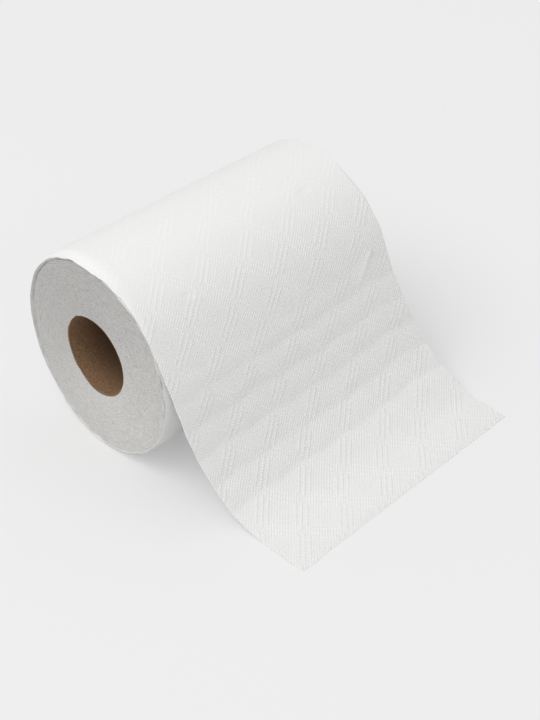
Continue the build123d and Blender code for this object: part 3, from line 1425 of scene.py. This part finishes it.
@dataclass
class CoreTube:
    """The open board core, flush with the paper's ends. Lengths are in millimetres."""

    bore_radius: float = 25.5
    wall: float = 0.9
    half_width: float = 92.5
    end_round: float = 0.22
    end_wave: Wander = Wander(0.18, 23.0, 61)
    wave_reach: float = 1.0
    wave_close: int = 6
    near_rim: NearRim = NearRim()
    sharp_deg: float = 35.0
    segments: int = 128
    rows: int = 24

    def build(self, material: Material) -> Piece:
        """Makes the tube as one closed wall with slightly rounded, uneven ends.

        Args:
            material: the board's finish.

        Returns:
            The piece.
        """
        outer = self.bore_radius + self.wall
        soft = self.end_round
        straight = np.linspace(-self.half_width + soft, self.half_width - soft, self.rows)
        inside = [(self.bore_radius, y) for y in straight]
        outside = [(outer, y) for y in straight[::-1]]
        far_end = [(self.bore_radius + soft, self.half_width), (outer - soft, self.half_width)]
        near_end = [(outer - soft, -self.half_width), (self.bore_radius + soft, -self.half_width)]
        profile = np.array(inside + far_end + outside + near_end)
        turned = np.linspace(0.0, 2.0 * math.pi, self.segments, endpoint=False)
        wave = self.end_wave.at(np.degrees(turned))
        # The last steps lead back to the first, so the wave closes.
        last = self.wave_close
        wave[-last:] = np.linspace(wave[-last], wave[0], last + 1)[:last]
        radius = profile[None, :, 0]
        at_end = np.sign(profile[:, 1]) * (np.abs(profile[:, 1]) > self.half_width - self.wave_reach)
        y = profile[None, :, 1] + wave[:, None] * at_end[None, :]
        points = np.stack([radius * np.sin(turned)[:, None], y, radius * np.cos(turned)[:, None]], -1)
        points[..., 1] += self.near_rim.setback(points)
        count, rows = points.shape[:2]
        index = np.arange(count * rows).reshape(count, rows)
        turn_on, row_on = np.roll(index, -1, 0), np.roll(index, -1, 1)
        both = np.roll(turn_on, -1, 1)
        faces = np.stack([index, row_on, both, turn_on], -1).reshape(-1, 4)
        places = points.reshape(-1, 3) * MM
        return mesh_object("core_tube_board", places, faces.tolist(), material, self.sharp_deg)


@dataclass
class TornEdge:
    """The row of tiny paper tabs that a torn perforation leaves along the sheet's front edge.

    Lengths are in millimetres and angles in radians.
    """

    count: int = 74
    tab_width: float = 1.5
    tab_reach: float = 0.55
    tab_height: float = 0.3
    tab_level: float = 0.5
    end_inset: float = 1.2
    scale_from: Triple = (0.35, 0.4, 0.5)
    scale_to: Triple = (1.25, 1.25, 1.0)
    swing: Triple = (0.1, 0.1, 0.35)
    seed: int = 7

    def _tree(self) -> Tree:
        """Builds the geometry tree that sets out the tabs along a line.

        Returns:
            The tree.
        """
        tree, g, given = geometry_tree(
            "Torn edge",
            {
                "Start": "NodeSocketVector",
                "End": "NodeSocketVector",
                "Count": "NodeSocketInt",
                "Tab Size": "NodeSocketVector",
                "Seed": "NodeSocketInt",
                "Material": "NodeSocketMaterial",
            },
        )
        line = g.add("GeometryNodeMeshLine", mode="END_POINTS")
        g.feed(given.outputs["Count"], line.inputs["Count"])
        g.feed(given.outputs["Start"], line.inputs["Start Location"])
        g.feed(given.outputs["End"], line.inputs["Offset"])
        tab = g.add("GeometryNodeMeshCube")
        g.feed(given.outputs["Tab Size"], tab.inputs["Size"])
        tab.inputs["Vertices X"].default_value = 3
        scale = g.add("FunctionNodeRandomValue", data_type="FLOAT_VECTOR")
        scale.inputs[0].default_value = self.scale_from
        scale.inputs[1].default_value = self.scale_to
        g.feed(given.outputs["Seed"], scale.inputs["Seed"])
        swing = g.add("FunctionNodeRandomValue", data_type="FLOAT_VECTOR")
        swing.inputs[0].default_value = tuple(-angle for angle in self.swing)
        swing.inputs[1].default_value = self.swing
        g.feed(given.outputs["Seed"], swing.inputs["Seed"])
        place = g.add("GeometryNodeInstanceOnPoints")
        g.feed(line.outputs[0], place.inputs["Points"])
        g.feed(tab.outputs["Mesh"], place.inputs["Instance"])
        g.feed(scale.outputs[0], place.inputs["Scale"])
        g.feed(swing.outputs[0], place.inputs["Rotation"])
        end_tree(g, given, place.outputs[0])
        return tree

    def build(self, web: PaperWeb, material: Material) -> Piece:
        """Makes the tabs along the front of the sheet.

        Args:
            web: the sheet that they belong to.
            material: the finish.

        Returns:
            The piece.
        """
        level = web.floor + self.tab_level
        near_y = -web.width / 2 - web.slip + web.drift
        far_y = web.width / 2 - web.slip + web.drift
        values: Dict[str, object] = {
            "Start": (web.near_front * MM, (near_y + self.end_inset) * MM, level * MM),
            "End": (web.far_front * MM, (far_y - self.end_inset) * MM, level * MM),
            "Count": self.count,
            "Tab Size": (self.tab_reach * MM, self.tab_width * MM, self.tab_height * MM),
            "Seed": self.seed,
        }
        return grown("torn_edge", self._tree(), values, material)


@dataclass
class Studio:
    """The pale floor, the soft light and the camera."""

    floor_color: Rgba = (0.863, 0.863, 0.863, 1.0)
    backdrop_share: Pair = (0.34, 0.8)
    backdrop_from: float = 0.12
    backdrop_to: float = 0.28
    floor_reach: float = 6.0
    floor_gap: float = 0.00002
    sky: float = 0.73
    sky_full_at: float = 0.9
    horizon: float = 0.38
    key: float = 0.46
    key_size: float = 1.6
    key_away: float = 1.8
    key_azimuth: float = 261.0
    key_elevation: float = 54.0
    fill: float = 0.10
    fill_azimuth: float = 315.0
    fill_elevation: float = 15.0
    fill_spread_deg: float = 60.0
    eye_mm: Triple = (600.41, -537.38, 574.01)
    forward: Triple = (-0.56317, 0.55226, -0.61470)
    roll_deg: float = 0.036
    lens_mm: float = 80.0
    sensor_mm: float = 36.0
    clip_m: Pair = (0.05, 30.0)

    def floor(self, level: float) -> None:
        """Lays the floor just under the object.

        Args:
            level: the object's lowest height in metres.
        """
        made, g = bare_material("pale_floor")
        shader = g.add("ShaderNodeBsdfDiffuse")
        shader.inputs["Color"].default_value = self.floor_color
        glow = g.add("ShaderNodeEmission")
        glow.inputs["Color"].default_value = self.floor_color
        away = g.add("ShaderNodeVectorMath", operation="LENGTH")
        g.feed(g.add("ShaderNodeTexCoord").outputs["Object"], away.inputs[0])
        far = g.fade(away.outputs["Value"], self.backdrop_from, self.backdrop_to)
        near_share, far_share = self.backdrop_share
        share = g.math("MULTIPLY_ADD", far, far_share - near_share, near_share)
        seen = g.math("MULTIPLY", self._seen(g), share)
        blend = g.add("ShaderNodeMixShader")
        g.feed(seen, blend.inputs[0])
        g.feed(shader.outputs[0], blend.inputs[1])
        g.feed(glow.outputs[0], blend.inputs[2])
        out = g.add("ShaderNodeOutputMaterial")
        g.feed(blend.outputs[0], out.inputs["Surface"])
        square = ((-1.0, -1.0), (1.0, -1.0), (1.0, 1.0), (-1.0, 1.0))
        reach = self.floor_reach
        corners = np.array([(x * reach, y * reach, level - self.floor_gap) for x, y in square])
        mesh_object("floor", corners, [(0, 1, 2, 3)], made)

    def _seen(self, g: NodeGraph) -> Socket:
        """Marks rays that show the backdrop: from the camera, off gloss or through glass.

        Args:
            g: the tree's graph helper.

        Returns:
            A socket that is 1 for those rays.
        """
        path = g.add("ShaderNodeLightPath").outputs
        seen = g.math("MAXIMUM", path["Is Camera Ray"], path["Is Glossy Ray"])
        return g.math("MAXIMUM", seen, path["Is Transmission Ray"])

    def light(self) -> None:
        """Sets the sky, a soft box at the near end and a weak, low fill from beside the free sheet."""
        world = bpy.data.worlds.new("studio")
        bpy.context.scene.world = world
        world.use_nodes = True
        g = NodeGraph(world.node_tree)
        sky = world.node_tree.nodes["Background"]
        sky.inputs["Color"].default_value = (1.0, 1.0, 1.0, 1.0)
        up = g.split(g.add("ShaderNodeTexCoord").outputs["Generated"])[2]
        high = g.fade(up, 0.0, self.sky_full_at)
        given = g.math("MULTIPLY_ADD", high, self.sky - self.horizon, self.horizon)
        seen = g.add("ShaderNodeMix")
        g.feed(self._seen(g), seen.inputs[0])
        g.feed(given, seen.inputs[2])
        seen.inputs[3].default_value = self.floor_color[0]
        g.feed(seen.outputs[0], sky.inputs["Strength"])
        box = bpy.data.lights.new("soft_box", "AREA")
        box.shape = "SQUARE"
        box.size = self.key_size
        box.energy = self.key * math.pi**2 * self.key_away**2
        self._aim(box, self.key_azimuth, self.key_elevation, self.key_away)
        fill = bpy.data.lights.new("fill", "SUN")
        fill.angle = math.radians(self.fill_spread_deg)
        fill.energy = self.fill * math.pi
        self._aim(fill, self.fill_azimuth, self.fill_elevation, self.key_away)

    def _aim(self, lamp: bpy.types.Light, azimuth: float, elevation: float, away: float) -> None:
        """Hangs a lamp in a direction from the object and turns it to face the object.

        Args:
            lamp: the lamp.
            azimuth: its direction on the floor in degrees, from +X towards +Y.
            elevation: its height in degrees.
            away: its distance in metres.
        """
        side, up = math.radians(azimuth), math.radians(elevation)
        back = Vector((math.cos(side) * math.cos(up), math.sin(side) * math.cos(up), math.sin(up)))
        holder = bpy.data.objects.new(lamp.name, lamp)
        holder.rotation_mode = "QUATERNION"
        holder.rotation_quaternion = (-back).to_track_quat("-Z", "Y")
        holder.location = back * away
        bpy.context.scene.collection.objects.link(holder)

    def camera(self) -> None:
        """Stands the camera where the photograph was taken from."""
        data = bpy.data.cameras.new("camera")
        data.lens = self.lens_mm
        data.sensor_width = self.sensor_mm
        data.clip_start, data.clip_end = self.clip_m
        holder = bpy.data.objects.new("camera", data)
        turn = Vector(self.forward).to_track_quat("-Z", "Y").to_matrix().to_4x4()
        level = Matrix.Rotation(math.radians(self.roll_deg), 4, "Z")
        holder.matrix_world = Matrix.Translation(Vector(self.eye_mm) * MM) @ turn @ level
        bpy.context.scene.collection.objects.link(holder)
        bpy.context.scene.camera = holder


def main() -> None:
    """Builds every piece, dresses it and reports it."""
    logging.basicConfig(level=logging.INFO, format="%(name)s: %(message)s")
    bpy.context.scene.view_settings.view_transform = "Standard"
    grain = FibreGrain()
    towel = TowelPaper().material(EmbossLattice(), grain)
    cut = CutPaper().material(grain)
    board = CoreBoard().material(grain)

    studio = Studio()
    studio.camera()
    studio.light()
    studio.floor(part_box("paper_roll")[0].z)

    core = CoreTube().build(board)
    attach(core, "root")
    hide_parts("core_tube")
    LOG.info("%s: %d faces", core.name, len(core.data.polygons))

    turns = WoundTurns().build(cut)
    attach(turns, "root")
    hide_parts("paper_roll")
    LOG.info("%s: %d faces", turns.name, len(turns.data.polygons))

    web = PaperWeb()
    sheet, length = web.build(towel, cut)
    tabs = TornEdge().build(web, towel)
    for piece in (sheet, tabs):
        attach(piece, "root")
        LOG.info("%s: %d faces", piece.name, len(piece.data.polygons))
    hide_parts("paper_roll")
    LOG.info("sheet cut to %.3f by %.3f m", web.width * MM, length)


if __name__ == "__main__":
    main()
